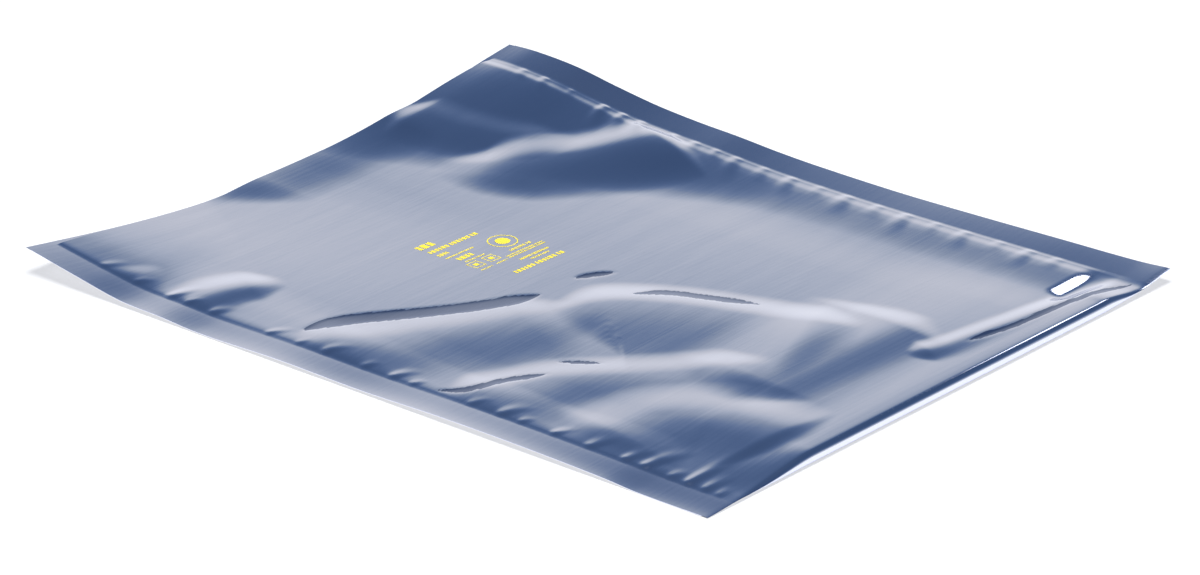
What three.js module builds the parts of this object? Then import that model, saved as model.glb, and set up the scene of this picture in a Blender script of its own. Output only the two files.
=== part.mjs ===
// Anti static shielding bag, empty and lying on a table. Millimetres, +Z up.
// +X runs across the bag from the near heat seal to the far one, +Y from the closed fold to the open mouth.
// One film is folded over at the fold and heat sealed along both long sides, so the bag is one solid.
// Its lower layer lies on the table and lifts at the mouth corners. Its upper layer stands clear of it.
import * as THREE from "three";

const bagWidth = 254; // over both heat seals
const bagLength = 305; // from the fold to the mouth edge of the upper layer
const filmThickness = 0.08;
const sealWidth = 12.7;
const lipLength = 2.8; // how far the lower layer runs past the upper one at the mouth
const foldHeight = 4.4; // of the rolled fold, between the seals
const foldDepth = 2.4; // of the roll, along Y
const nearPinch = 42; // length of fold that closes towards the near seal
const farPinch = 26; // and towards the far seal
const foldReach = 20; // how far the roll raises the upper layer behind it
const mouthReach = 150; // how far in from the mouth its shape is felt
const leastGap = 0.5; // clear height where a fold presses the layers together

// Stations of the surface grid. The interior counts are even, as the lower layer takes every other one.
const sealColumns = 2;
const interiorColumns = 38;
const interiorRows = 48;
const rollSteps = 4;

// Heights of the lower layer's long edges above the table: distance from the fold, height.
const nearEdge = [
  [0, 0.2],
  [28, 0.2],
  [44, 1],
  [78, 1.7],
  [113, 1.7],
  [148, 0.9],
  [185, 1.2],
  [223, 0.4],
  [242, 1.3],
  [261, 1.9],
  [281, 4.9],
  [308, 9.4],
];
const farEdge = [
  [0, 4.6],
  [14, 3.7],
  [48, 3.2],
  [84, 2.7],
  [119, 2.5],
  [156, 3.3],
  [175, 4.2],
  [194, 5.6],
  [213, 6.6],
  [233, 8.3],
  [253, 11.1],
  [273, 14.3],
  [293, 15.7],
  [308, 15.5],
];
// How far in from each long edge that lift reaches: distance from the fold, reach.
const nearReach = [
  [0, 16],
  [212, 20],
  [308, 80],
];
const farReach = [
  [0, 46],
  [40, 46],
  [150, 50],
  [190, 62],
  [308, 112],
];
// Clear height of the mouth: distance from the near edge, height.
const mouthGap = [
  [12.7, 0],
  [24, 0.4],
  [33, 1.1],
  [46, 2],
  [65, 2.6],
  [83, 2.5],
  [98, 2.3],
  [111, 2.8],
  [124, 3.5],
  [136, 4.3],
  [148, 4.9],
  [158, 5.2],
  [167, 5.1],
  [180, 4.4],
  [192, 2.6],
  [200, 1.9],
  [211, 1.9],
  [229, 2.2],
  [241.3, 0],
];
// Clear height away from the mouth: distance from the near edge, height. Then its share along the bag.
const puffAcross = [
  [12.7, 0],
  [16, 1.9],
  [19, 2.6],
  [40, 3.3],
  [60, 3.8],
  [80, 4.2],
  [105, 4.6],
  [130, 4.7],
  [150, 4.7],
  [180, 4.3],
  [200, 3.8],
  [208, 3.6],
  [225, 3.4],
  [239, 3.1],
  [241.3, 0],
];
const puffAlong = [
  [0, 1],
  [150, 1],
  [305, 0.92],
];

// Folds of the upper layer. Each crest is a smooth line through points given as distance from the near edge and
// from the fold. The left and right widths are those seen looking along the crest. A negative rise is a trough.
const folds = {
  contactRidge: {
    crest: [
      [10, 193],
      [34, 178],
      [54, 163],
      [72, 149],
      [90, 134],
      [104, 119],
    ],
    rise: 0.9,
    left: 26,
    right: 52,
    start: 14,
    end: 22,
  },
  nearRidge: {
    crest: [
      [10, 124],
      [34, 108],
      [55, 88],
      [74, 70],
      [94, 52],
      [108, 38],
    ],
    rise: 1.2,
    left: 27,
    right: 70,
    start: 16,
    end: 20,
  },
  middleRidge: {
    crest: [
      [88, 144],
      [106, 123],
      [119, 98],
      [128, 70],
      [136, 46],
      [140, 30],
    ],
    rise: 1.4,
    left: 19,
    right: 60,
    start: 20,
    end: 14,
  },
  cornerRidge: {
    crest: [
      [158, 256],
      [166, 244],
      [179, 230],
      [194, 215],
      [216, 203],
      [238, 198],
    ],
    rise: 1.7,
    left: 23,
    right: 40,
    start: 34,
    end: 20,
  },
  cornerFold: {
    crest: [
      [179, 304],
      [183, 272],
      [190, 247],
      [204, 226],
    ],
    rise: 0.5,
    left: 14,
    right: 20,
    start: 10,
    end: 20,
  },
  nearDome: {
    crest: [
      [50, 76],
      [55, 56],
      [57, 40],
      [56, 22],
      [52, 6],
    ],
    rise: 0.9,
    left: 16,
    right: 40,
    start: 16,
    end: 10,
  },
  frontTrough: {
    crest: [
      [60, 22],
      [100, 24],
      [150, 22],
      [190, 17],
      [222, 13],
    ],
    rise: -0.6,
    left: 20,
    right: 16,
    start: 16,
    end: 20,
  },
  foldCrease: {
    crest: [
      [126, 28],
      [134, 19],
      [150, 16],
      [190, 11],
      [238, 2],
    ],
    rise: 0.7,
    left: 9,
    right: 10,
    start: 8,
    end: 12,
  },
  mouthCurl: {
    crest: [
      [70, 312],
      [150, 312],
      [215, 312],
    ],
    rise: 1,
    left: 10,
    right: 42,
    start: 40,
    end: 30,
  },
  puffOne: {
    crest: [
      [6, 258],
      [34, 268],
    ],
    rise: 0.6,
    left: 13,
    right: 15,
    start: 8,
    end: 12,
  },
  puffTwo: {
    crest: [
      [6, 222],
      [46, 232],
    ],
    rise: 0.7,
    left: 14,
    right: 17,
    start: 8,
    end: 14,
  },
};

const foldY = -(bagLength + lipLength) / 2;
const mouthY = foldY + bagLength;
const lipY = mouthY + lipLength;

const smooth = (share) => THREE.MathUtils.smoothstep(share, 0, 1);

// A smooth line through [position, value] pairs, level beyond both ends.
function through(pairs, position) {
  const last = pairs.length - 1;
  if (position <= pairs[0][0]) return pairs[0][1];
  if (position >= pairs[last][0]) return pairs[last][1];
  const right = pairs.findIndex((pair) => pair[0] > position);
  const [x0, y0] = pairs[right - 1];
  const [x1, y1] = pairs[right];
  const slope = (a, b) => (pairs[b][1] - pairs[a][1]) / (pairs[b][0] - pairs[a][0]);
  const span = x1 - x0;
  const startSlope = slope(Math.max(right - 2, 0), right) * span;
  const endSlope = slope(right - 1, Math.min(right + 1, last)) * span;
  const t = (position - x0) / span;
  const cubic = 2 * y0 - 2 * y1 + startSlope + endSlope;
  const square = 3 * y1 - 3 * y0 - 2 * startSlope - endSlope;
  return ((cubic * t + square) * t + startSlope) * t + y0;
}

// Each crest as short straight steps with their lengths.
const crestSteps = Object.fromEntries(
  Object.entries(folds).map(([name, fold]) => {
    const points = fold.crest.map(([across, along]) => new THREE.Vector2(across, along));
    const line = new THREE.SplineCurve(points).getPoints(8 * (points.length - 1));
    const lengths = line.slice(1).map((point, k) => point.distanceTo(line[k]));
    return [name, { line, lengths, total: lengths.reduce((sum, length) => sum + length, 0) }];
  }),
);

// Where a point lies beside a crest: how far along it, and how far to its left (or right, if negative).
function beside({ line, lengths }, across, along) {
  let best = { distance: Infinity, side: 1, run: 0 };
  let before = 0;
  lengths.forEach((length, k) => {
    const step = line[k + 1].clone().sub(line[k]).divideScalar(length);
    const from = new THREE.Vector2(across, along).sub(line[k]);
    const lowest = k === 0 ? -Infinity : 0;
    const highest = k === lengths.length - 1 ? Infinity : length;
    const run = THREE.MathUtils.clamp(from.dot(step), lowest, highest);
    const distance = from.distanceTo(step.clone().multiplyScalar(run));
    if (distance < best.distance)
      best = { distance, side: Math.sign(step.cross(from)), run: before + run };
    before += length;
  });
  return best;
}

function foldRise(name, across, along) {
  const fold = folds[name];
  const { distance, side, run } = beside(crestSteps[name], across, along);
  const strength =
    smooth(run / fold.start) * smooth((crestSteps[name].total - run) / fold.end);
  const width = (side > 0 ? fold.left : fold.right) * (0.4 + 0.6 * strength);
  const share = Math.min(distance / width, 1);
  return 0.5 * fold.rise * strength * (1 + Math.cos(Math.PI * share));
}

// Underside of the lower layer above the table.
function lowerHeight(x, y) {
  const along = y - foldY;
  const fromNear = x + bagWidth / 2;
  const fromFar = bagWidth / 2 - x;
  const nearShare = Math.max(1 - fromNear / through(nearReach, along), 0);
  const farShare = 1 - smooth(fromFar / through(farReach, along));
  return through(nearEdge, along) * nearShare ** 2 + through(farEdge, along) * farShare;
}

// Clear height between the layers. It is nothing in the seals.
function gapHeight(x, y) {
  const across = x + bagWidth / 2;
  const along = y - foldY;
  const fromNearSeal = across - sealWidth;
  const fromFarSeal = bagWidth - sealWidth - across;
  if (fromNearSeal <= 1e-6 || fromFarSeal <= 1e-6) return 0;
  const fromSeal = Math.min(fromNearSeal, fromFarSeal);
  const puff = through(puffAcross, across) * through(puffAlong, along);
  const nearMouth = 1 - smooth((bagLength - along) / mouthReach);
  const base = THREE.MathUtils.lerp(puff, through(mouthGap, across), nearMouth);
  const rises = Object.keys(folds).map((name) => foldRise(name, across, along));
  const folded = base + rises.reduce((sum, rise) => sum + rise, 0) * (1 - Math.exp(-fromSeal / 5));
  const inside = 0.5 * (folded + leastGap + Math.hypot(folded - leastGap, 0.6));
  const pinch = smooth(fromNearSeal / nearPinch) * smooth(fromFarSeal / farPinch);
  const roll = (foldHeight - 2 * filmThickness) * pinch;
  const nearFold = 1 - smooth((along - foldDepth) / foldReach);
  return THREE.MathUtils.lerp(inside, roll, nearFold) * (1 - Math.exp(-fromSeal));
}

// Column positions: even steps in the seals, and interior steps that tighten towards the seals.
const columns = [];
for (let i = 0; i <= sealColumns; i++)
  columns.push(-bagWidth / 2 + (sealWidth * i) / sealColumns);
const innerWidth = bagWidth - 2 * sealWidth;
for (let i = 1; i < interiorColumns; i++) {
  const share = i / interiorColumns;
  const eased = share - (0.6 * Math.sin(2 * Math.PI * share)) / (2 * Math.PI);
  columns.push(-innerWidth / 2 + innerWidth * eased);
}
for (let i = sealColumns; i >= 0; i--)
  columns.push(bagWidth / 2 - (sealWidth * i) / sealColumns);
const lastColumn = columns.length - 1;
const nearSealEdge = sealColumns;
const farSealEdge = lastColumn - sealColumns;

// Row 0 is the mouth edge of the upper layer, the last row is where the roll of the fold begins.
const rollStart = foldY + foldDepth;
const rowY = (row) => mouthY + ((rollStart - mouthY) * row) / interiorRows;
const lipRow = -1;

// Vertices of the closed surface, each made once and named by its place.
const positions = [];
const triangles = [];
const made = new Map();
function vertex(place, x, y, z) {
  if (!made.has(place)) {
    made.set(place, positions.length / 3);
    positions.push(x, y, z);
  }
  return made.get(place);
}
const inSeal = (i) => i <= nearSealEdge || i >= farSealEdge;

// side is "under", "floor", "ceiling" or "top": the lower layer's two faces, then the upper layer's.
function place(side, i, row) {
  const x = columns[i];
  const y = row === lipRow ? lipY : rowY(row);
  const low = lowerHeight(x, y);
  const gap = gapHeight(x, y);
  if (side === "under") return vertex(`under ${i} ${row}`, x, y, low);
  if (side === "top") return vertex(`top ${i} ${row}`, x, y, low + gap + 2 * filmThickness);
  if (side === "ceiling" && !inSeal(i))
    return vertex(`ceiling ${i} ${row}`, x, y, low + gap + filmThickness);
  return vertex(`floor ${i} ${row}`, x, y, low + filmThickness);
}

// A point of the rolled fold. Step 0 meets the lower layer and the last step meets the upper one.
function rollPlace(face, i, step) {
  if (step === 0) return place(face === "outer" ? "under" : "floor", i, interiorRows);
  if (step === rollSteps) return place(face === "outer" ? "top" : "ceiling", i, interiorRows);
  const x = columns[i];
  const half = gapHeight(x, rollStart) / 2 + filmThickness;
  const inset = face === "outer" ? 0 : filmThickness;
  const shut = face === "inner" && inSeal(i);
  const at = shut ? Math.min(step, rollSteps - step) : step;
  const angle = (Math.PI * at) / rollSteps;
  const y = rollStart - (foldDepth - inset) * Math.sin(angle);
  const z = lowerHeight(x, rollStart) + half - (half - inset) * Math.cos(angle);
  return vertex(`${face} ${i} roll ${at}`, x, y, z);
}

function addFace(corners, outwards = true) {
  for (let k = 1; k < corners.length - 1; k++) {
    const triangle = [corners[0], corners[k], corners[k + 1]];
    if (new Set(triangle).size === 3) triangles.push(outwards ? triangle : triangle.reverse());
  }
}

// One cell of the upper layer. Both faces of the film take the diagonal that follows the surface best.
function upperCell(i, row) {
  const height = (x, y) => lowerHeight(x, y) + gapHeight(x, y);
  const [x0, x1] = [columns[i], columns[i + 1]];
  const [y0, y1] = [rowY(row + 1), rowY(row)];
  const middle = 2 * height((x0 + x1) / 2, (y0 + y1) / 2);
  const rising = Math.abs(height(x0, y0) + height(x1, y1) - middle);
  const falling = Math.abs(height(x1, y0) + height(x0, y1) - middle);
  const around = [
    [i, row + 1],
    [i + 1, row + 1],
    [i + 1, row],
    [i, row],
  ];
  if (falling < rising) around.push(around.shift());
  addFace(around.map(([a, b]) => place("top", a, b)));
  if (i >= nearSealEdge && i < farSealEdge)
    addFace(around.map(([a, b]) => place("ceiling", a, b)), false);
}

// One double-size cell of the lower layer. It takes in the extra vertices where it meets a finer edge.
function lowerCell(i, row) {
  const around = [
    [i, row + 2],
    [i + 1, row + 2],
    [i + 2, row + 2],
    [i + 2, row + 1],
    [i + 2, row],
    [i, row],
    [i, row + 1],
  ];
  const onFineEdge = ([a, b]) =>
    (a === i + 1 && b === interiorRows) ||
    (b === row + 1 && (a === nearSealEdge || a === farSealEdge));
  const corners = around.filter(([a, b]) => (a !== i + 1 && b !== row + 1) || onFineEdge([a, b]));
  const first = corners.findIndex(onFineEdge);
  const turned = [...corners.slice(Math.max(first, 0)), ...corners.slice(0, Math.max(first, 0))];
  addFace(turned.map(([a, b]) => place("under", a, b)), false);
  addFace(turned.map(([a, b]) => place("floor", a, b)));
}

for (let row = 0; row < interiorRows; row++)
  for (let i = 0; i < lastColumn; i++) {
    upperCell(i, row);
    const sealed = i < nearSealEdge || i >= farSealEdge;
    if (sealed)
      addFace(
        [
          place("under", i, row + 1),
          place("under", i + 1, row + 1),
          place("under", i + 1, row),
          place("under", i, row),
        ],
        false,
      );
  }
for (let row = 0; row < interiorRows; row += 2)
  for (let i = nearSealEdge; i < farSealEdge; i += 2) lowerCell(i, row);

for (let step = 0; step < rollSteps; step++)
  for (let i = 0; i < lastColumn; i++) {
    const around = (face) => [
      rollPlace(face, i, step),
      rollPlace(face, i + 1, step),
      rollPlace(face, i + 1, step + 1),
      rollPlace(face, i, step + 1),
    ];
    addFace(around("outer"));
    if (i >= nearSealEdge && i < farSealEdge) addFace(around("inner"), false);
  }

// Cut edge of the upper layer at the mouth.
for (let i = 0; i < lastColumn; i++)
  addFace([
    place("top", i, 0),
    place("top", i + 1, 0),
    place("ceiling", i + 1, 0),
    place("ceiling", i, 0),
  ]);

// The lip: the lower layer's strip beyond the mouth, and its cut edge.
const lipColumns = columns.map((x, i) => i).filter((i) => inSeal(i) || (i - nearSealEdge) % 2 === 0);
lipColumns.slice(1).forEach((i, k) => {
  const before = lipColumns[k];
  for (const side of ["floor", "under"])
    addFace(
      [
        place(side, before, 0),
        place(side, i, 0),
        place(side, i, lipRow),
        place(side, before, lipRow),
      ],
      side === "floor",
    );
  addFace([
    place("floor", before, lipRow),
    place("floor", i, lipRow),
    place("under", i, lipRow),
    place("under", before, lipRow),
  ]);
});

// Cut long edges of both seals, with the end of the roll and the side of the lip.
for (const i of [0, lastColumn]) {
  const outwards = i === 0;
  addFace(
    [
      place("under", i, 1),
      place("top", i, 1),
      place("top", i, 0),
      place("floor", i, 0),
      place("under", i, 0),
    ],
    outwards,
  );
  for (let row = 1; row < interiorRows; row++)
    addFace(
      [
        place("under", i, row),
        place("under", i, row + 1),
        place("top", i, row + 1),
        place("top", i, row),
      ],
      outwards,
    );
  addFace(
    [
      place("under", i, lipRow),
      place("under", i, 0),
      place("floor", i, 0),
      place("floor", i, lipRow),
    ],
    outwards,
  );
  const steps = Array.from({ length: rollSteps + 1 }, (_, step) => rollPlace("outer", i, step));
  addFace(steps, outwards);
}

const geometry = new THREE.BufferGeometry();
geometry.setAttribute("position", new THREE.Float32BufferAttribute(positions, 3));
geometry.setIndex(triangles.flat());
geometry.computeVertexNormals();

const film = new THREE.MeshStandardMaterial({ color: 0x7f8ea6, roughness: 0.22, metalness: 0.75 });
const shieldingBag = new THREE.Mesh(geometry, film);
shieldingBag.name = "shielding_bag";

const part = new THREE.Group();
part.add(shieldingBag);
export default part;
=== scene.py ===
import math

import bpy
import numpy as np
from mathutils import Matrix, Vector


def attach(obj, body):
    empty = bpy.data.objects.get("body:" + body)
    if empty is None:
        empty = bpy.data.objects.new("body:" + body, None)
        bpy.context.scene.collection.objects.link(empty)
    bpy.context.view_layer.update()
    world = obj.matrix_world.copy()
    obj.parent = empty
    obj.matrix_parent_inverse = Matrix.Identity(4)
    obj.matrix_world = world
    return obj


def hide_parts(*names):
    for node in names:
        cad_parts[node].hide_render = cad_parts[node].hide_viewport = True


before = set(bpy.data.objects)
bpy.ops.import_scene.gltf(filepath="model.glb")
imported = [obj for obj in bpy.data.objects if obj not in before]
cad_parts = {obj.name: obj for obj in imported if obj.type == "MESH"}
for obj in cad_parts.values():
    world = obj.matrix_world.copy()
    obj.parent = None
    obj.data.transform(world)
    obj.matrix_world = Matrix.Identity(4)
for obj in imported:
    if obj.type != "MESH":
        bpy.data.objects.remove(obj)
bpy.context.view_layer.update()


def smooth(share):
    share = np.clip(share, 0, 1)
    return share * share * (3 - 2 * share)


# A smooth line through (position, value) pairs, level beyond both ends.
def through(pairs, position):
    at, value = np.array(pairs, float).T
    position = np.asarray(position, float)
    left = np.clip(np.searchsorted(at, position, side="right") - 1, 0, len(at) - 2)
    span = at[left + 1] - at[left]
    before, after = np.maximum(left - 1, 0), np.minimum(left + 2, len(at) - 1)
    startSlope = (value[left + 1] - value[before]) / (at[left + 1] - at[before]) * span
    endSlope = (value[after] - value[left]) / (at[after] - at[left]) * span
    share = np.clip((position - at[left]) / span, 0, 1)
    cubic = 2 * value[left] - 2 * value[left + 1] + startSlope + endSlope
    square = 3 * value[left + 1] - 3 * value[left] - 2 * startSlope - endSlope
    return ((cubic * share + square) * share + startSlope) * share + value[left]


# A crest as short straight steps on a smooth line through its points.
def crestLine(points, stepsEach):
    points = np.array(points, float)
    padded = np.vstack([points[0], points, points[-1]])
    line = []
    for k in range(len(points) - 1):
        before, start, end, after = padded[k:k + 4]
        startSlope, endSlope = (end - before) / 2, (after - start) / 2
        for step in range(stepsEach):
            share = step / stepsEach
            cubic = 2 * start - 2 * end + startSlope + endSlope
            square = 3 * end - 3 * start - 2 * startSlope - endSlope
            line.append(((cubic * share + square) * share + startSlope) * share + start)
    line.append(points[-1])
    return np.array(line)


# Distance from a line, side of it, distance run along it, and its length.
def beside(line, across, along):
    best = np.full(across.shape, np.inf)
    side, run = np.ones(across.shape), np.zeros(across.shape)
    steps = np.diff(line, axis=0)
    lengths = np.hypot(steps[:, 0], steps[:, 1])
    before = 0.0
    for k, (step, length) in enumerate(zip(steps, lengths)):
        stepX, stepY = step / length
        fromX, fromY = across - line[k, 0], along - line[k, 1]
        lowest = -np.inf if k == 0 else 0
        highest = np.inf if k == len(steps) - 1 else length
        reach = np.clip(fromX * stepX + fromY * stepY, lowest, highest)
        distance = np.hypot(fromX - reach * stepX, fromY - reach * stepY)
        nearer = distance < best
        best = np.where(nearer, distance, best)
        side = np.where(nearer, np.sign(stepX * fromY - stepY * fromX), side)
        run = np.where(nearer, before + reach, run)
        before += length
    return best, side, run, before


# The bag in millimetres. "across" runs from the near heat seal, "along" from the closed fold.
bag = {
    "width": 254.0,
    "length": 305.0,
    "film": 0.08,
    "seal": 12.7,
    "lip": 2.8,
    "leastGap": 0.15,
    # mesh steps
    "rollSteps": 20,
    "sealSteps": 13,
    "innerSteps": 229,
    "alongSteps": 303,
    "underSkip": 8,  # the lower layer has every eighth column of the upper one
    "crestSteps": 24,
    "sharpAngle": 50,
    # the rolled fold: its height and depth, where it pinches shut at each seal, and how far it is felt
    "foldHeight": 4.4,
    "foldDepth": 2.4,
    "rollDepthCurve": 0.8,
    "rollHeightCurve": 1.25,
    "nearPinch": 42.0,
    "farPinch": 26.0,
    "foldReach": 20.0,
    "mouthReach": 150.0,
    # heights of the lower layer's long edges, and how far in from each edge that lift reaches
    "nearEdge": [(0, 0.2), (28, 0.2), (44, 1.0), (78, 1.7), (113, 1.7), (148, 0.9),
                 (185, 1.2), (223, 0.4), (242, 1.3), (261, 1.9), (281, 4.9), (308, 9.4)],
    "farEdge": [(0, 4.6), (14, 3.7), (48, 3.2), (84, 2.7), (119, 2.5), (156, 3.3), (175, 4.2),
                (194, 5.6), (213, 6.6), (233, 8.3), (253, 11.1), (273, 14.3), (293, 15.7), (308, 15.5)],
    "nearReach": [(0, 36), (212, 40), (308, 90)],
    "farReach": [(0, 42), (40, 42), (150, 46), (190, 64), (308, 112)],
    "nearLiftCurve": 1.4,
    # how far the near seal's inner line is lifted by the two layers that part there
    "sealLift": [(0, 0.9), (35, 0.95), (70, 0.85), (200, 0.8), (250, 0.5), (285, 0.2), (308, 0.1)],
    "sealLiftRise": 18,
    "sealLiftFrom": 10,
    "sealLiftFade": 36,
    # clear height between the layers across the bag: near the fold, in the middle and at the mouth
    "foldGap": [(12.7, 0), (14, 0.2), (30, 1.7), (50, 3.2), (65, 3.6), (120, 3.6), (160, 3.4), (190, 2.8),
                (210, 2.0), (230, 1.4), (241.3, 0.35)],
    "middleGap": [(12.7, 0), (14, 0.2), (30, 1.2), (60, 1.8), (100, 2.1), (150, 2.2), (180, 1.9),
                  (205, 1.3), (230, 1.1), (241.3, 0.35)],
    "mouthGap": [(12.7, 0), (14, 0.2), (30, 1.0), (46, 1.2), (85, 1.0), (115, 1.2), (130, 1.6), (145, 2.2),
                 (160, 2.6), (180, 2.8), (205, 2.8), (220, 2.4), (235, 1.4), (241.3, 0.35)],
    "foldGapEnd": 25,
    "foldGapFade": 60,
    "gapRounding": 0.3,
    "closingRun": 0.9,
    "partedLeast": 0.4,  # the far seal's layers part less steeply than the near one's
    "partedRun": 7,
    # folds of the upper layer: crest points (across, along), rise, widths to its left and right,
    # and how far it takes to come up at its start and to die away at its end
    "folds": {
        "contactRidge": ([(10, 192), (30, 172), (52, 158), (76, 145), (100, 134)], 1.15, 24, 38, 16, 26),
        "middleRidge": ([(88, 142), (106, 130), (118, 112), (127, 88), (134, 68), (142, 48)],
                        1.6, 21, 58, 22, 20),
        "nearRidge": ([(12, 122), (30, 110), (47, 102), (62, 88), (80, 71), (100, 52)], 1.1, 19, 36, 14, 20),
        "frontRidge": ([(66, 50), (90, 49), (120, 47), (168, 43)], 1.3, 40, 24, 22, 16),
        "nearDome": ([(12, 66), (42, 60), (56, 46), (60, 30), (58, 8)], 1.2, 25, 38, 16, 10),
        "cornerRidge": ([(166, 266), (176, 248), (191, 235), (210, 222), (242, 210)], 2.6, 23, 36, 34, 12),
        "cornerFold": ([(190, 306), (192, 276), (200, 252), (214, 238)], 0.9, 16, 22, 10, 20),
        "mouthCurl": ([(84, 312), (150, 312), (200, 312)], 1.6, 10, 36, 30, 20),
        "foldCrease": ([(136, 26), (150, 20), (180, 16), (210, 12), (240, 3)], 0.8, 9, 11, 8, 12),
        "cornerDimple": ([(206, 18), (228, 17), (256, 18)], -1.7, 9, 8, 10, 4),
        "puffOne": ([(8, 268), (30, 271)], 0.5, 13, 12, 8, 14),
        "puffTwo": ([(8, 240), (30, 240), (50, 230)], 1.0, 16, 14, 8, 14),
    },
    "foldEndWidth": 0.4,  # share of a fold's width that is left at its ends
    "foldSealFade": 5,
    # puckers that run in from a seal: start, length, how far it drifts along, rise and width
    "nearPuckers": [
        (284, 12, -4, 0.25, 3), (268, 9, -3, 0.3, 3), (251, 16, -5, 0.45, 4), (243, 8, -4, 0.35, 3),
        (231, 11, -3, 0.4, 3.5), (204, 10, -6, 0.3, 3), (190, 7, -2, 0.25, 2.5), (178, 12, -6, 0.35, 4),
        (160, 8, -3, 0.3, 3), (147, 12, -5, 0.4, 3.5), (138, 7, -3, 0.3, 2.5), (112, 9, -4, 0.3, 3),
        (99, 14, -5, 0.4, 4), (90, 7, -2, 0.3, 2.5), (76, 10, -4, 0.35, 3), (61, 13, -4, 0.4, 4),
        (46, 13, -3, 0.45, 3.5), (38, 22, -6, 0.5, 4), (27, 9, -2, 0.35, 3), (20, 30, -2, 0.5, 3.5),
        (13, 16, -1, 0.4, 3), (7, 9, 0, 0.3, 2.5),
    ],
    "farPuckers": [
        (288, 11, -6, 0.4, 3.5), (277, 13, -7, 0.45, 3.5), (264, 9, -5, 0.3, 3), (247, 24, -10, 0.6, 4),
        (238, 20, -9, 0.55, 4), (229, 17, -8, 0.5, 4), (213, 12, -7, 0.4, 3.5), (203, 16, -8, 0.45, 4),
        (193, 11, -6, 0.35, 3), (183, 22, -10, 0.4, 4.5), (170, 14, -6, 0.35, 4), (157, 19, -7, 0.45, 4.5),
        (144, 12, -4, 0.3, 4), (131, 20, -6, 0.45, 5), (117, 14, -4, 0.35, 4), (104, 24, -6, 0.4, 5),
        (91, 12, -3, 0.3, 3.5), (78, 18, -5, 0.4, 4.5), (63, 12, -3, 0.3, 4), (50, 20, -3, 0.4, 4.5),
        (38, 13, -2, 0.35, 4),
    ],
    "puckerShare": 0.7,
    "puckerStart": 2,
    "puckerNeck": 0.7,
    "puckerSpread": 0.8,
    "puckerBend": 1.5,
    # fine waves that the film keeps from its roll, with crests that run nearly straight across
    "waveSeed": 7,
    "waveCount": 26,
    "waveShortest": 4.0,
    "waveLongest": 22.0,
    "waveSteepness": 0.0009,
    "waveDrift": 0.16,
    "waveReach": 60,
    "waveReachSpread": 80,
    "waveSealFade": 8,
    # creases where the film clings, grooved a little and painted a darker blue as painted shade: points,
    # widest half width, ragged end length
    "creases": [
        ([(22, 196), (40, 190), (60, 175), (80, 162), (98, 155)], 4.6, 14),
        ([(116, 156), (124, 152), (130, 148)], 2.0, 6),
        ([(116, 130), (126, 122), (132, 108), (139, 91)], 2.8, 12),
        ([(15, 128), (22, 119), (35, 115), (48, 107)], 2.0, 10),
        ([(58, 113), (62, 107), (67, 99)], 1.5, 8),
        ([(156, 17), (180, 13), (210, 11), (238, 5)], 1.6, 14),
    ],
    "creaseSteps": 4,
    "creaseOutside": -4.0,
    "creaseDepth": 0.12,
    "grooveStart": 0.6,
    "grooveRun": 1.6,
    "detailFade": 6,
}


def foldRise(fold, across, along):
    crest, rise, left, right, start, end = fold
    distance, side, run, total = beside(crestLine(crest, bag["crestSteps"]), across, along)
    strength = smooth(run / start) * smooth((total - run) / end)
    least = bag["foldEndWidth"]
    width = np.where(side > 0, left, right) * (least + (1 - least) * strength)
    return 0.5 * rise * strength * (1 + np.cos(np.pi * np.minimum(distance / width, 1)))


# Underside of the lower layer above the table.
def lowerHeight(across, along):
    nearShare = np.maximum(1 - across / through(bag["nearReach"], along), 0) ** bag["nearLiftCurve"]
    fading = smooth((across - bag["sealLiftFrom"]) / bag["sealLiftFade"])
    lifted = through(bag["sealLift"], along) * smooth(across / bag["sealLiftRise"]) * (1 - fading)
    farShare = np.maximum(1 - (bag["width"] - across) / through(bag["farReach"], along), 0)
    farLift = through(bag["farEdge"], along) * farShare ** 2 * (2 - farShare)
    edges = through(bag["nearEdge"], along) * nearShare + farLift
    return edges + lifted


# Clear height between the layers. It is nothing in the seals.
def gapHeight(across, along):
    fromSeal = np.minimum(across - bag["seal"], bag["width"] - bag["seal"] - across)
    fromSeal = np.maximum(fromSeal, 0)
    nearFold = 1 - smooth((along - bag["foldDepth"]) / bag["foldReach"])
    nearMouth = 1 - smooth((bag["length"] - along) / bag["mouthReach"])
    inFold = 1 - smooth((along - bag["foldGapEnd"]) / bag["foldGapFade"])
    puff = through(bag["foldGap"], across) * inFold + through(bag["middleGap"], across) * (1 - inFold)
    base = puff * (1 - nearMouth) + through(bag["mouthGap"], across) * nearMouth
    rises = sum(foldRise(fold, across, along) for fold in bag["folds"].values())
    folded = base + rises * (1 - np.exp(-fromSeal / bag["foldSealFade"]))
    rounded = np.hypot(folded - bag["leastGap"], bag["gapRounding"])
    inside = 0.5 * (folded + bag["leastGap"] + rounded)
    nearPinch = smooth((across - bag["seal"]) / bag["nearPinch"])
    farPinch = smooth((bag["width"] - bag["seal"] - across) / bag["farPinch"])
    roll = (bag["foldHeight"] - 2 * bag["film"]) * nearPinch * farPinch
    closing = 1 - np.exp(-np.maximum(across - bag["seal"], 0))
    closing = closing * np.minimum(fromSeal / bag["closingRun"], 1)
    opened = smooth((bag["width"] - bag["seal"] - across) / bag["partedRun"])
    parted = bag["partedLeast"] + (1 - bag["partedLeast"]) * opened
    return (inside * (1 - nearFold) + roll * nearFold) * closing * parted


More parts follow.
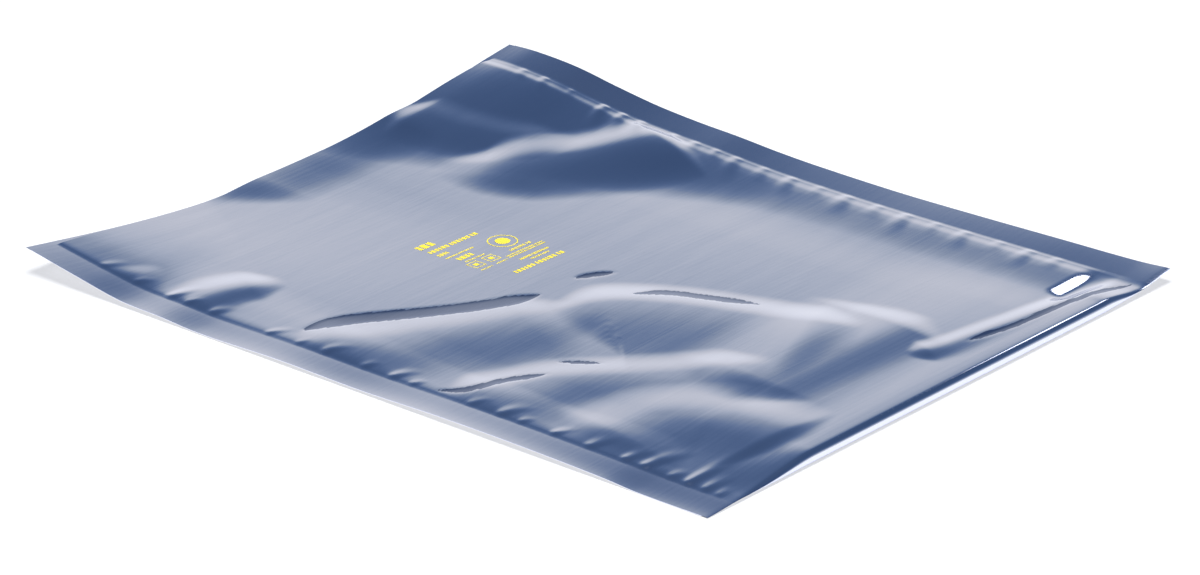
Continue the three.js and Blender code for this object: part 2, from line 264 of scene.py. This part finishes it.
def puckerRise(across, along):
    total = np.zeros(across.shape)
    inner = bag["width"] - bag["seal"]
    for edge, way, name in ((bag["seal"], 1, "nearPuckers"), (inner, -1, "farPuckers")):
        run = (across - edge) * way
        for start, length, drift, rise, width in bag[name]:
            share = np.clip(run / length, 0, 1)
            centre = start + drift * share ** bag["puckerBend"]
            away = np.abs(along - centre) / (width * (bag["puckerNeck"] + bag["puckerSpread"] * share))
            strength = bag["puckerShare"] * smooth(run / bag["puckerStart"]) * (1 - smooth(share))
            bump = 0.5 * rise * strength * (1 + np.cos(np.pi * np.minimum(away, 1)))
            total += np.where(run > 0, bump, 0)
    return total


def waveRise(across, along):
    chance = np.random.default_rng(bag["waveSeed"])
    total = np.zeros(across.shape)
    for k in range(bag["waveCount"]):
        length = bag["waveShortest"] * (bag["waveLongest"] / bag["waveShortest"]) ** chance.random()
        turn = bag["waveDrift"] * chance.normal()
        phase, place, spread = chance.random(3)
        toward = along * math.cos(turn) + across * math.sin(turn)
        reach = bag["waveReach"] + bag["waveReachSpread"] * spread
        nearness = np.exp(-((across - bag["width"] * place) / reach) ** 2)
        height = bag["waveSteepness"] * length / (2 * math.pi)
        total += height * nearness * np.sin(2 * math.pi * (toward / length + phase))
    fromSeal = np.minimum(across - bag["seal"], bag["width"] - bag["seal"] - across)
    return total * smooth(fromSeal / bag["waveSealFade"])


# How far a point lies inside the outline of its nearest crease, in millimetres. Outside is negative.
def creaseField(across, along):
    field = np.full(across.shape, bag["creaseOutside"])
    for points, halfWidth, end in bag["creases"]:
        distance, _, run, total = beside(crestLine(points, bag["creaseSteps"]), across, along)
        taper = np.sqrt(smooth(run / end) * smooth((total - run) / end))
        within = np.clip(np.minimum(run, total - run), bag["creaseOutside"], 0)
        field = np.maximum(field, halfWidth * taper - distance + within)
    return field


def detailHeight(across, along):
    fade = smooth((along - bag["foldDepth"]) / bag["detailFade"])
    pressed = smooth((creaseField(across, along) + bag["grooveStart"]) / bag["grooveRun"])
    groove = bag["creaseDepth"] * pressed
    return (puckerRise(across, along) + waveRise(across, along) - groove) * fade


def rowPoint(across, along, height):
    return np.stack([
        (across - bag["width"] / 2) / 1000,
        (along - (bag["length"] + bag["lip"]) / 2) / 1000,
        height / 1000,
    ], axis=-1)


# Outside of the upper layer above the table.
def topHeight(across, along):
    gap = gapHeight(across, along) + detailHeight(across, along)
    return lowerHeight(across, along) + np.maximum(gap, 0) + 2 * bag["film"]


# The whole film: upper layer, rolled fold, lower layer and lip, as one open skin.
def makeBag():
    seal, width = bag["seal"], bag["width"]
    columns = np.concatenate([
        np.linspace(0, seal, bag["sealSteps"], endpoint=False),
        np.linspace(seal, width - seal, bag["innerSteps"], endpoint=False),
        np.linspace(width - seal, width, bag["sealSteps"] + 1),
    ])
    rows = np.linspace(bag["foldDepth"], bag["length"], bag["alongSteps"] + 1)
    across, along = np.meshgrid(columns, rows)
    top = rowPoint(across, along, topHeight(across, along))

    startLow = lowerHeight(columns, np.full(columns.shape, rows[0]))
    rollHeight = top[0, :, 2] * 1000 - startLow
    angles = np.linspace(0, np.pi, bag["rollSteps"] + 1)[:-1]
    rolled = []
    for angle in angles:
        depth = bag["foldDepth"] * math.sin(angle) ** bag["rollDepthCurve"]
        share = (0.5 - 0.5 * math.cos(angle)) ** bag["rollHeightCurve"]
        back = np.full(columns.shape, rows[0] - depth)
        rolled.append(rowPoint(columns, back, startLow + rollHeight * share))
    upper = np.concatenate([np.array(rolled), top])  # row 0 is the table end of the roll

    kept = np.unique(np.append(np.arange(0, len(columns), bag["underSkip"]), len(columns) - 1))
    underRows = np.append(rows, bag["length"] + bag["lip"])
    underAcross, underAlong = np.meshgrid(columns[kept], underRows[1:])
    under = rowPoint(underAcross, underAlong, lowerHeight(underAcross, underAlong))

    points = np.concatenate([upper.reshape(-1, 3), under.reshape(-1, 3)])
    wide = len(columns)
    upperIndex = np.arange(upper.shape[0] * wide).reshape(upper.shape[0], wide)
    underIndex = np.arange(under.shape[0] * len(kept)).reshape(under.shape[0], len(kept)) + upperIndex.size

    def cells(index, flip):
        corners = [index[:-1, :-1], index[:-1, 1:], index[1:, 1:], index[1:, :-1]]
        quads = np.stack([corner.ravel() for corner in corners], axis=1)
        return (quads[:, ::-1] if flip else quads).tolist()

    faces = cells(upperIndex, False) + cells(underIndex, True)
    for k in range(len(kept) - 1):  # the first strip of the lower layer meets the roll's finer edge
        fine = upperIndex[0, kept[k]:kept[k + 1] + 1].tolist()
        faces.append(fine + [int(underIndex[0, k + 1]), int(underIndex[0, k])])
        faces[-1].reverse()
    firstTop = len(angles)
    for outer, column in ((0, 0), (-1, -1)):  # the cut long edges of the seals
        tops = upperIndex[firstTop:, outer]
        bottoms = np.append(upperIndex[0, outer], underIndex[:len(rows) - 1, column])
        for k in range(len(rows) - 1):
            side = [int(tops[k]), int(tops[k + 1]), int(bottoms[k + 1]), int(bottoms[k])]
            faces.append(side if outer == 0 else side[::-1])

    mesh = bpy.data.meshes.new("shielding_film")
    mesh.from_pydata(points.tolist(), [], faces)
    mesh.update()
    # the crease outline, inside which the film material paints the film darker as painted shade
    field = mesh.attributes.new("crease", "FLOAT", "POINT")
    values = np.full(len(points), bag["creaseOutside"])
    values[firstTop * wide:upperIndex.size] = creaseField(across, along).ravel()
    field.data.foreach_set("value", values)
    mesh.shade_smooth()
    mesh.set_sharp_from_angle(angle=math.radians(bag["sharpAngle"]))
    piece = bpy.data.objects.new("shielding_film", mesh)
    bpy.context.scene.collection.objects.link(piece)
    return piece


def newMaterial(name):
    material = bpy.data.materials.new(name)
    material.use_nodes = True
    nodes = material.node_tree.nodes
    return material, nodes, material.node_tree.links, nodes["Principled BSDF"]


# The finish of the metallised film. The stretches are noise scales across, along and up.
film = {
    "colour": (0.765, 0.795, 0.95, 1),
    # the darker blue of the creases is painted shade
    "creaseShadeColour": (0.16, 0.21, 0.36, 1),
    "metallic": 1.0,
    "roughness": 0.10,
    "sealRoughness": 0.16,
    "sealBlend": 0.0002,
    "lineStretch": (14, 700, 1),
    "lineStrength": 0.07,
    "lineDepth": 0.0002,
    "grainScale": 260.0,
    "grainShare": 0.5,
    "ragStretch": (110, 900, 1),
    "raggedness": 2.6,
    "ragEdge": 0.12,
}


def filmMaterial():
    material, nodes, links, shader = newMaterial("metallised_film")

    def add(kind, **values):
        node = nodes.new(kind)
        for name, value in values.items():
            if name in node.inputs:
                node.inputs[name].default_value = value
            else:
                setattr(node, name, value)
        return node

    place = add("ShaderNodeTexCoord").outputs["Object"]

    # the crease outline, ragged along the film's machine direction, inside which the film is painted a darker
    # blue as painted shade
    stretch = add("ShaderNodeMapping", vector_type="POINT")
    stretch.inputs["Scale"].default_value = film["ragStretch"]
    links.new(place, stretch.inputs["Vector"])
    rag = add("ShaderNodeTexNoise", Scale=1.0, Detail=2.0)
    links.new(stretch.outputs[0], rag.inputs["Vector"])
    field = add("ShaderNodeAttribute", attribute_name="crease")
    ragged = add("ShaderNodeMath", operation="MULTIPLY_ADD")
    links.new(rag.outputs["Fac"], ragged.inputs[0])
    ragged.inputs[1].default_value = film["raggedness"]
    links.new(field.outputs["Fac"], ragged.inputs[2])
    edge = add("ShaderNodeMapRange", interpolation_type="SMOOTHSTEP")
    edge.inputs["From Min"].default_value = 0.5 * film["raggedness"] - film["ragEdge"]
    edge.inputs["From Max"].default_value = 0.5 * film["raggedness"] + film["ragEdge"]
    links.new(ragged.outputs[0], edge.inputs["Value"])
    # inside the outline the colour turns to the crease colour, painted shade
    colour = add("ShaderNodeMix", data_type="RGBA")
    colour.inputs[6].default_value = film["colour"]
    colour.inputs[7].default_value = film["creaseShadeColour"]
    links.new(edge.outputs["Result"], colour.inputs["Factor"])
    links.new(colour.outputs[2], shader.inputs["Base Color"])
    shader.inputs["Metallic"].default_value = film["metallic"]

    # the seals are a little duller than the rest
    parts = add("ShaderNodeSeparateXYZ")
    links.new(place, parts.inputs[0])
    outward = add("ShaderNodeMath", operation="ABSOLUTE")
    links.new(parts.outputs["X"], outward.inputs[0])
    inSeal = add("ShaderNodeMapRange")
    sealLine = (bag["width"] / 2 - bag["seal"]) / 1000
    inSeal.inputs["From Min"].default_value = sealLine - film["sealBlend"]
    inSeal.inputs["From Max"].default_value = sealLine + film["sealBlend"]
    inSeal.inputs["To Min"].default_value = film["roughness"]
    inSeal.inputs["To Max"].default_value = film["sealRoughness"]
    links.new(outward.outputs[0], inSeal.inputs["Value"])
    links.new(inSeal.outputs["Result"], shader.inputs["Roughness"])

    # faint lines along the machine direction, and a fine unevenness
    lineStretch = add("ShaderNodeMapping", vector_type="POINT")
    lineStretch.inputs["Scale"].default_value = film["lineStretch"]
    links.new(place, lineStretch.inputs["Vector"])
    lines = add("ShaderNodeTexNoise", Scale=1.0, Detail=3.0)
    links.new(lineStretch.outputs[0], lines.inputs["Vector"])
    grain = add("ShaderNodeTexNoise", Scale=film["grainScale"], Detail=2.0)
    links.new(place, grain.inputs["Vector"])
    height = add("ShaderNodeMath", operation="MULTIPLY_ADD")
    links.new(grain.outputs["Fac"], height.inputs[0])
    height.inputs[1].default_value = film["grainShare"]
    links.new(lines.outputs["Fac"], height.inputs[2])
    bump = add("ShaderNodeBump", Strength=film["lineStrength"], Distance=film["lineDepth"])
    links.new(height.outputs[0], bump.inputs["Height"])
    links.new(bump.outputs["Normal"], shader.inputs["Normal"])
    return material


# The yellow print: rows of plain marks in place of lettering. The rows run across the bag, tops to the mouth.
ink = {
    "colour": (0.84, 0.68, 0.03, 1),
    "roughness": 0.35,
    "lift": 0.03,
    "step": 0.8,
    "line": 0.35,
    # each row: across, along, run, height, mark, space
    "rows": [
        (101, 213.5, 10, 3.6, 2.6, 0.7), (101, 208.6, 26, 2.2, 1.5, 0.5), (101, 204.4, 6, 2.0, 1.2, 0.4),
        (101, 201.2, 15, 0.9, 0.9, 0.25), (103, 196.6, 9, 2.6, 1.9, 0.5), (103, 194.0, 10, 0.8, 0.8, 0.25),
        (101, 184.6, 6, 0.8, 0.7, 0.25), (109, 184.6, 6, 0.8, 0.7, 0.25),
        (121, 188.8, 11, 1.4, 1.1, 0.45), (116, 186.3, 20, 0.8, 0.7, 0.2), (116, 184.9, 20, 0.8, 0.7, 0.2),
        (117, 180.6, 15, 1.3, 0.9, 0.3), (120, 178.2, 10, 1.0, 0.8, 0.3), (107, 173.6, 26, 2.2, 1.5, 0.55),
    ],
    "markWidths": (0.62, 1.0, 0.8),  # three widths in turn, so a row looks set and not ruled
    "groupSize": 6,
    "groupSpace": 2.2,
    # each frame: across, along, size, with a filled square inside
    "frames": [(101.2, 187.4, 5.2), (109.0, 187.4, 5.2)],
    "frameInset": 0.3,
    "ring": (126, 197.5, 5.6),  # middle across and along, radius
    "ringLine": 0.5,
    "discShare": 0.5,
    "ringSteps": 48,
    "patchScale": 900,
    "patchShade": 0.8,
}


# One flat mark of ink that lies on the film, as a small grid that follows its surface.
def addPatch(points, faces, left, bottom, wide, high):
    across = np.linspace(left, left + wide, max(2, int(wide / ink["step"]) + 2))
    along = np.linspace(bottom, bottom + high, max(2, int(high / ink["step"]) + 2))
    grid = np.meshgrid(across, along)
    place = rowPoint(*grid, topHeight(*grid) + ink["lift"])
    first, width = len(points), len(across)
    points.extend(place.reshape(-1, 3).tolist())
    for row in range(len(along) - 1):
        for column in range(width - 1):
            corner = first + row * width + column
            faces.append((corner, corner + 1, corner + width + 1, corner + width))


def makePrint():
    points, faces = [], []
    for left, bottom, run, high, mark, space in ink["rows"]:
        place, count = left, 0
        while place + mark <= left + run:
            wide = mark * ink["markWidths"][count % len(ink["markWidths"])]
            addPatch(points, faces, place, bottom, wide, high)
            count += 1
            place += wide + space * (ink["groupSpace"] if count % ink["groupSize"] == 0 else 1)
    line = ink["line"]
    for left, bottom, size in ink["frames"]:
        addPatch(points, faces, left, bottom, size, line)
        addPatch(points, faces, left, bottom + size - line, size, line)
        addPatch(points, faces, left, bottom + line, line, size - 2 * line)
        addPatch(points, faces, left + size - line, bottom + line, line, size - 2 * line)
        inset, square = size * ink["frameInset"], size * (1 - 2 * ink["frameInset"])
        addPatch(points, faces, left + inset, bottom + inset, square, square)
    middle, centre, radius = ink["ring"]
    turns = np.linspace(0, 2 * math.pi, ink["ringSteps"] + 1)
    for inner, outer in ((radius - ink["ringLine"], radius), (0.0, radius * ink["discShare"])):
        reach, turn = np.meshgrid([inner, outer], turns, indexing="ij")
        across, along = middle + reach * np.cos(turn), centre + reach * np.sin(turn)
        first = len(points)
        height = topHeight(across, along) + ink["lift"]
        points.extend(rowPoint(across, along, height).reshape(-1, 3).tolist())
        for k in range(len(turns) - 1):
            low, high = first + k, first + len(turns) + k
            faces.append((low, high, high + 1, low + 1))
    mesh = bpy.data.meshes.new("yellow_print")
    mesh.from_pydata(points, [], faces)
    mesh.update()
    mesh.shade_smooth()
    piece = bpy.data.objects.new("yellow_print", mesh)
    bpy.context.scene.collection.objects.link(piece)
    return piece


def inkMaterial():
    material, nodes, links, shader = newMaterial("yellow_ink")
    shader.inputs["Roughness"].default_value = ink["roughness"]
    place = nodes.new("ShaderNodeTexCoord")
    patchy = nodes.new("ShaderNodeTexNoise")
    patchy.inputs["Scale"].default_value = ink["patchScale"]
    links.new(place.outputs["Object"], patchy.inputs["Vector"])
    shade = nodes.new("ShaderNodeValToRGB")
    shade.color_ramp.elements[0].color = [ink["patchShade"] * value for value in ink["colour"][:3]] + [1]
    shade.color_ramp.elements[1].color = ink["colour"]
    links.new(patchy.outputs["Fac"], shade.inputs[0])
    links.new(shade.outputs["Color"], shader.inputs["Base Color"])
    return material


# The photograph's own viewpoint, in degrees and metres.
view = {
    "azimuth": -49.40,
    "elevation": 22.62,
    "roll": 0.0445,
    "distance": 1.6469,
    "target": (-0.00698, -0.00697, 0.0),
    "lens": 142.50,
    "sensor": 36,
}


def makeCamera():
    azimuth, elevation, roll = (math.radians(view[name]) for name in ("azimuth", "elevation", "roll"))
    level = math.cos(elevation)
    back = Vector((math.sin(azimuth) * level, -math.cos(azimuth) * level, math.sin(elevation)))
    right = (-back).cross(Vector((0, 0, 1))).normalized()
    up = right.cross(-back)
    rolledRight = right * math.cos(roll) + up * math.sin(roll)
    rolledUp = -right * math.sin(roll) + up * math.cos(roll)
    data = bpy.data.cameras.new("camera")
    data.lens = view["lens"]
    data.sensor_width = view["sensor"]
    camera = bpy.data.objects.new("camera", data)
    turned = Matrix((rolledRight, rolledUp, back)).transposed().to_4x4()
    camera.matrix_world = Matrix.Translation(Vector(view["target"]) + back * view["distance"]) @ turned
    bpy.context.scene.collection.objects.link(camera)
    bpy.context.scene.camera = camera


studio = {
    "boxHeight": 1.2,
    "boxSize": 0.7,
    "boxWatts": 23.3,
    "boxPlace": (0.0, 0.0),
    "stripPlace": (0.358, -0.031, 0.233),
    "stripSize": (0.06, 0.075),
    "stripWatts": 0.035,
    "stripAim": (0.1, -0.13, 0.0),
    "floorSize": 6.0,
    "floorDrop": 0.00005,
    "floorColour": (0.86, 0.86, 0.87, 1),
    "floorRoughness": 0.9,
    "floorGloss": 0.1,
    "floorGlow": 0.55,
    "worldSlant": 17.0,  # degrees by which the left of the backdrop is seen as if lower
    # elevation in degrees, then the brightness that the film mirrors there
    "backdrop": [(-5, 0.97), (0, 0.95), (5, 0.90), (11, 0.83), (15.5, 0.74), (18.8, 0.64),
                 (21.5, 0.557), (24, 0.459), (26.2, 0.335), (28.4, 0.229), (31.5, 0.15), (37, 0.11),
                 (46, 0.09), (90, 0.08)],
    # brightness, then the tint of the backdrop at that brightness
    "tint": [(0.08, (0.55, 1, 1.95)), (0.33, (0.84, 1, 1.2)), (0.65, (1, 1, 1))],
}


def makeFloor():
    mesh = bpy.data.meshes.new("floor")
    size, low = studio["floorSize"], -studio["floorDrop"]
    corners = [(-size, -size, low), (size, -size, low), (size, size, low), (-size, size, low)]
    mesh.from_pydata(corners, [], [(0, 1, 2, 3)])
    floor = bpy.data.objects.new("floor", mesh)
    bpy.context.scene.collection.objects.link(floor)
    material, nodes, links, shader = newMaterial("floor")
    shader.inputs["Base Color"].default_value = studio["floorColour"]
    shader.inputs["Roughness"].default_value = studio["floorRoughness"]
    shader.inputs["Specular IOR Level"].default_value = studio["floorGloss"]
    glow = nodes.new("ShaderNodeEmission")
    glow.inputs["Color"].default_value = (1, 1, 1, 1)
    path = nodes.new("ShaderNodeLightPath")
    seen = nodes.new("ShaderNodeMath")
    seen.operation = "MAXIMUM"
    links.new(path.outputs["Is Camera Ray"], seen.inputs[0])
    links.new(path.outputs["Is Glossy Ray"], seen.inputs[1])
    share = nodes.new("ShaderNodeMath")
    share.operation = "MULTIPLY"
    links.new(seen.outputs[0], share.inputs[0])
    share.inputs[1].default_value = studio["floorGlow"]
    mixed = nodes.new("ShaderNodeMixShader")
    links.new(share.outputs[0], mixed.inputs[0])
    links.new(shader.outputs[0], mixed.inputs[1])
    links.new(glow.outputs[0], mixed.inputs[2])
    links.new(mixed.outputs[0], nodes["Material Output"].inputs["Surface"])
    mesh.materials.append(material)
    return floor


def makeWorld():
    world = bpy.data.worlds.new("studio")
    bpy.context.scene.world = world
    world.use_nodes = True
    nodes, links = world.node_tree.nodes, world.node_tree.links
    background = nodes["Background"]

    def nodeMath(operation, *values):
        node = nodes.new("ShaderNodeMath")
        node.operation = operation
        for socket, value in zip(node.inputs, values):
            if isinstance(value, (int, float)):
                socket.default_value = value
            else:
                links.new(value, socket)
        return node.outputs[0]

    place = nodes.new("ShaderNodeTexCoord").outputs["Generated"]
    parts = nodes.new("ShaderNodeSeparateXYZ")
    links.new(place, parts.inputs[0])
    elevation = nodeMath("ARCSINE", parts.outputs["Z"])
    turn = math.radians(-view["azimuth"])
    rightwards = nodeMath("ADD", nodeMath("MULTIPLY", parts.outputs["X"], math.cos(turn)),
                          nodeMath("MULTIPLY", parts.outputs["Y"], -math.sin(turn)))
    lowest, highest = studio["backdrop"][0][0], studio["backdrop"][-1][0]
    spread = highest - lowest
    degrees = nodeMath("ADD", nodeMath("MULTIPLY", elevation, 180 / math.pi),
                       nodeMath("MULTIPLY", rightwards, studio["worldSlant"]))
    share = nodeMath("DIVIDE", nodeMath("SUBTRACT", degrees, lowest), spread)
    ramp = nodes.new("ShaderNodeValToRGB")
    links.new(share, ramp.inputs[0])
    levels, tints = zip(*studio["tint"])
    stops = ramp.color_ramp.elements
    for k, (angle, level) in enumerate(studio["backdrop"]):
        stop = stops[k] if k < 2 else stops.new((angle - lowest) / spread)  # a new ramp has two stops
        stop.position = (angle - lowest) / spread
        colour = [level * np.interp(level, levels, [tint[c] for tint in tints]) for c in range(3)]
        stop.color = (*colour, 1)
    links.new(ramp.outputs["Color"], background.inputs["Color"])


def makeSoftbox():
    light = bpy.data.lights.new("softbox", "AREA")
    light.shape = "SQUARE"
    light.size = studio["boxSize"]
    light.energy = studio["boxWatts"]
    box = bpy.data.objects.new("softbox", light)
    box.location = (*studio["boxPlace"], studio["boxHeight"])
    bpy.context.scene.collection.objects.link(box)


# A small soft light behind the right, which glints in the dimple at the fold's far corner.
def makeStrip():
    light = bpy.data.lights.new("strip", "AREA")
    light.shape = "RECTANGLE"
    light.size, light.size_y = studio["stripSize"]
    light.energy = studio["stripWatts"]
    strip = bpy.data.objects.new("strip", light)
    place = Vector(studio["stripPlace"])
    aim = Vector(studio["stripAim"]) - place
    strip.matrix_world = Matrix.Translation(place) @ aim.to_track_quat("-Z", "X").to_matrix().to_4x4()
    strip.visible_camera = False
    bpy.context.scene.collection.objects.link(strip)


makeCamera()
piece = makeBag()
piece.data.materials.append(filmMaterial())
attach(piece, "root")
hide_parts("shielding_bag")
print("bag made:", len(piece.data.polygons), "faces")

marks = makePrint()
marks.data.materials.append(inkMaterial())
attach(marks, "root")
print("print made:", len(marks.data.polygons), "faces")

makeFloor()
makeWorld()
makeSoftbox()
makeStrip()
bpy.context.scene.view_settings.view_transform = "Standard"
print("studio made")
